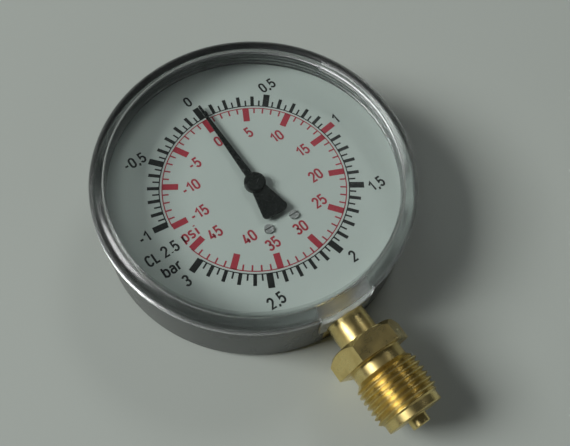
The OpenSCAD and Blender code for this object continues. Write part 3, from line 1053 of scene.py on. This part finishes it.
@dataclass
class DialPrint:
    """Printing on the dial: a black bar scale outside, a red psi scale inside, upright numbers."""

    turn: float = 1.85
    arc_r: float = 30.45
    arc_w: float = 0.35
    arc_gap: float = 0.95
    bar_range: Pair = (-1.0, 3.0)
    psi_range: Pair = (-15.0, 45.0)
    red_bar_marks: tuple[float, ...] = (1.0,)
    degrees_per_bar: float = 82.5
    bar_per_psi: float = 0.0689476
    ink_t: float = 0.03
    arc_steps: int = 360
    shortest_line: float = 1e-4
    mitre_limit: float = 0.6
    letters: Lettering = field(default_factory=Lettering)

    def scales(self) -> list[Scale]:
        """The two scales: the marks' spacing, length and width, coarse to fine."""
        bar = [(0.5, 4.8, 2.1), (0.1, 3.8, 1.15), (0.05, 2.2, 0.55)]
        psi = [(5.0, 5.1, 2.1), (1.0, 2.0, 0.52)]
        bar_turn = self.degrees_per_bar
        psi_turn = bar_turn * self.bar_per_psi
        psi_r = self.arc_r - self.arc_gap
        swapped = self.red_bar_marks
        return [
            Scale(Ink.BLACK, self.arc_r, self.arc_w, 1, *self.bar_range, bar_turn, bar, swapped),
            Scale(Ink.RED, psi_r, self.arc_w, -1, *self.psi_range, psi_turn, psi),
        ]

    def words(self, ink: Ink) -> dict[str, Pair]:
        """Signs of one ink and where their middles are."""
        if ink is Ink.BLACK:
            return {
                "0": (-0.6, 38.9),
                "0,5": (25.5, 29.6),
                "1,5": (32.9, -21.5),
                "2": (11.1, -37.3),
                "2,5": (-16.8, -35.6),
                "3": (-35.3, -15.1),
                "-1": (-38.5, 4.1),
                "-0,5": (-27.2, 29.0),
                "1": (36.9, 5.7),
                "CL 2.5": (-36.7, -3.4),
                "bar": (-36.9, -9.2),
            }
        return {
            "psi": (-26.2, -2.6),
            "0": (-0.6, 20.3),
            "5": (9.7, 17.6),
            "10": (16.5, 11.1),
            "15": (20.5, 2.0),
            "20": (18.4, -7.9),
            "25": (13.8, -16.1),
            "30": (3.4, -20.2),
            "35": (-6.9, -19.8),
            "40": (-11.7, -13.9),
            "45": (-19.6, -6.6),
            "-15": (-20.0, 1.9),
            "-10": (-17.3, 11.1),
            "-5": (-11.7, 17.6),
        }

    def ribbon(self, line: np.ndarray, width: float) -> tuple[np.ndarray, np.ndarray]:
        """Flat band along a line.

        With n the mitred normal at point p, the band's sides are p + n w/2 and p - n w/2; n is the mean
        of the two lines' normals, lengthened by one over its own dot product with either.

        Args:
            line: Points along the band's middle.
            width: The band's width.

        Returns:
            The band's points and its quads.
        """
        steps = np.diff(line, axis=0)
        kept = np.concatenate([[True], np.linalg.norm(steps, axis=1) > self.shortest_line])
        line = line[kept]
        steps = np.diff(line, axis=0)
        unit = steps / np.linalg.norm(steps, axis=1)[:, None]
        before = np.concatenate([unit[:1], unit])
        after = np.concatenate([unit, unit[-1:]])
        mean = before + after
        mean /= np.maximum(np.linalg.norm(mean, axis=1), TINY)[:, None]
        reach = 1.0 / np.maximum((mean * after).sum(axis=1), self.mitre_limit)
        normal = np.stack([-mean[:, 1], mean[:, 0]], axis=-1) * reach[:, None] * width / 2
        points = np.concatenate([line + normal, line - normal])
        count = len(line)
        here = np.arange(count - 1)
        quads = np.stack([here + count, here + count + 1, here + 1, here], axis=-1)
        return points, quads

    def bands(self, scale: Scale, ink: Ink) -> list[tuple[np.ndarray, float]]:
        """What one ink prints of a scale: its own arc and marks, or single marks of the other ink's.

        A mark at clockwise angle a is the line r (sin a, cos a) from the arc to its own length.

        Args:
            scale: The scale.
            ink: The ink.

        Returns:
            The points and the width of each line.
        """
        bands: list[tuple[np.ndarray, float]] = []
        if ink is scale.ink:
            turn = scale.angle(np.linspace(scale.first, scale.last, self.arc_steps))
            bands.append((scale.line_r * np.stack([np.sin(turn), np.cos(turn)], axis=-1), scale.line_w))
        for readings, (_, length, width) in zip(scale.marks(), scale.divisions):
            swapped = np.isin(readings, scale.other_ink)
            mine = readings[~swapped] if ink is scale.ink else readings[swapped]
            for at in scale.angle(mine):
                way = np.array([math.sin(at), math.cos(at)])
                ends = scale.line_r + scale.outward * np.array([[0.0], [length]])
                bands.append((ends * way, width))
        return bands

    def print_ink(self, ink: Ink) -> None:
        """Lays all bands of one ink on the dial as one thin piece.

        Args:
            ink: The ink.
        """
        bands = [band for scale in self.scales() for band in self.bands(scale, ink)]
        for words, middle in self.words(ink).items():
            bands += [(line, self.letters.stroke) for line in self.letters.lines(words, middle)]
        turn = math.radians(self.turn)
        spin = np.array([[math.cos(turn), math.sin(turn)], [-math.sin(turn), math.cos(turn)]])
        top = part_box("dial")[1][2] / MM + self.ink_t
        skins: list[Skin] = []
        for line, width in bands:
            points, quads = self.ribbon(line, width)
            flat = points @ spin
            skins.append(Skin(np.column_stack([flat, np.full(len(flat), top)]), quads.tolist()))
        made = Skin.join(skins).piece(f"print_{ink.value}", "gauge_body", ink.finish())
        made.data.shade_flat()
        layer = made.modifiers.new("ink_layer", "SOLIDIFY")
        layer.thickness = self.ink_t * MM
        layer.offset = -1.0

    def build(self) -> None:
        """Prints both inks."""
        for ink in Ink:
            self.print_ink(ink)


@dataclass
class Housing:
    """Case, dial, pointer and movement, which keep their solid-model shapes."""

    dressed: tuple[tuple[Finish, str], ...] = (
        (Finishes.case, "case"),
        (Finishes.dial, "dial"),
        (Finishes.pointer, "pointer"),
        (Finishes.plate_brass, "movement_back_plate movement_front_plate movement_pillars"),
        (Finishes.plate_brass, "dial_posts sector_gear link tube_tip pointer_bush"),
        (Finishes.plate_brass, "hairspring_collet hairspring_stud"),
        (Finishes.tube_bronze, "hairspring"),
        (Finishes.steel, "case_screws front_plate_screws movement_screws"),
        (Finishes.steel, "sector_arbor pinion_arbor tail_pin tip_pin"),
        (Finishes.dull_zinc, "dial_screws"),
    )

    def build(self) -> None:
        """Gives every kept node its finish."""
        for finish, names in self.dressed:
            for name in names.split():
                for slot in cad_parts[name].material_slots:
                    slot.material = finish.material()
                LOG.info("%s: dressed in %s", name, finish.name)


@dataclass(frozen=True)
class Lamp:
    """A soft rectangular light that looks at the gauge; lengths are metres."""

    name: str
    way: Triple
    distance: float
    width: float
    height: float
    power: float

    def hang(self) -> None:
        """Hangs the lamp at its distance in its direction."""
        data = bpy.data.lights.new(self.name, "AREA")
        data.shape = "RECTANGLE"
        data.size = self.width
        data.size_y = self.height
        data.energy = self.power
        lamp = added(self.name, data)
        way = Vector(self.way).normalized()
        lamp.location = way * self.distance
        lamp.rotation_mode = "QUATERNION"
        lamp.rotation_quaternion = way.to_track_quat("Z", "Y")


@dataclass
class Studio:
    """Camera at the photograph's angle, pale floor, three lamps, pale walls and a dim ceiling."""

    eye: Triple = (-64.32, -95.82, 234.31)
    right: Triple = (0.83009, -0.55576, 0.04562)
    up: Triple = (0.48611, 0.76130, 0.42909)
    back: Triple = (-0.27321, -0.33401, 0.90211)
    lens: float = 48.0
    sensor: float = 36.0
    clip_start: float = 0.01
    floor_half: float = 2200.0
    floor_drop: float = 0.2
    lamps: tuple[Lamp, ...] = (
        Lamp("key_light", (-0.76, 0.42, 0.69), 4.0, 1.7, 1.7, 132.0),
        Lamp("fill_light", (0.3, -0.85, 0.4), 3.0, 2.0, 2.0, 3.0),
        Lamp("side_light", (0.583, 0.378, 0.719), 3.0, 0.95, 0.62, 8.0),
    )
    walls: Colour = rgb(0.3, 0.315, 0.3)
    walls_to: float = 0.03
    ceiling: Colour = rgb(0.037, 0.039, 0.04)
    ceiling_from: float = 0.06

    def camera(self) -> None:
        """Sets the camera from its eye point and its three axes."""
        data = bpy.data.cameras.new("camera")
        data.lens = self.lens
        data.sensor_width = self.sensor
        data.clip_start = self.clip_start
        view = added("camera", data)
        axes = Matrix((self.right, self.up, self.back)).transposed().to_4x4()
        view.matrix_world = Matrix.Translation(Vector(self.eye) * MM) @ axes
        bpy.context.scene.camera = view

    def floor(self) -> None:
        """Lays a flat sheet just under the gauge."""
        sides = ((-1, -1), (1, -1), (1, 1), (-1, 1))
        reach = self.floor_half * MM
        corners = [(x * reach, y * reach, -self.floor_drop * MM) for x, y in sides]
        mesh = bpy.data.meshes.new("floor")
        mesh.from_pydata(corners, [], [(0, 1, 2, 3)])
        mesh.materials.append(Finishes.floor.material())
        sheet = added("floor", mesh)

    def lights(self) -> None:
        """Hangs the lamps and sets the room: pale walls low down, a dim ceiling above."""
        for lamp in self.lamps:
            lamp.hang()
        world = bpy.data.worlds.new("room")
        graph = Graph(world)
        way = graph.node("ShaderNodeTexCoord", output="Generated")
        rise = graph.node("ShaderNodeSeparateXYZ", None, {0: way}, "Z")
        above = graph.step(rise, self.walls_to, self.ceiling_from)
        colour = graph.mix(above, self.walls, self.ceiling)
        graph.show(graph.node("ShaderNodeBackground", None, {"Color": colour, "Strength": 1.0}))
        bpy.context.scene.world = world

    def build(self) -> None:
        """Sets camera, floor, lights and the plain view transform."""
        self.camera()
        self.floor()
        self.lights()
        bpy.context.scene.view_settings.view_transform = "Standard"


def main() -> None:
    """Builds the studio and every sub-assembly in order."""
    logging.basicConfig(level=logging.INFO, format="%(name)s: %(message)s")
    for part in (Studio(), Housing(), PressureTube(), DialPrint(), Window(), Socket()):
        LOG.info("building %s", type(part).__name__)
        part.build()


if __name__ == "__main__":
    main()
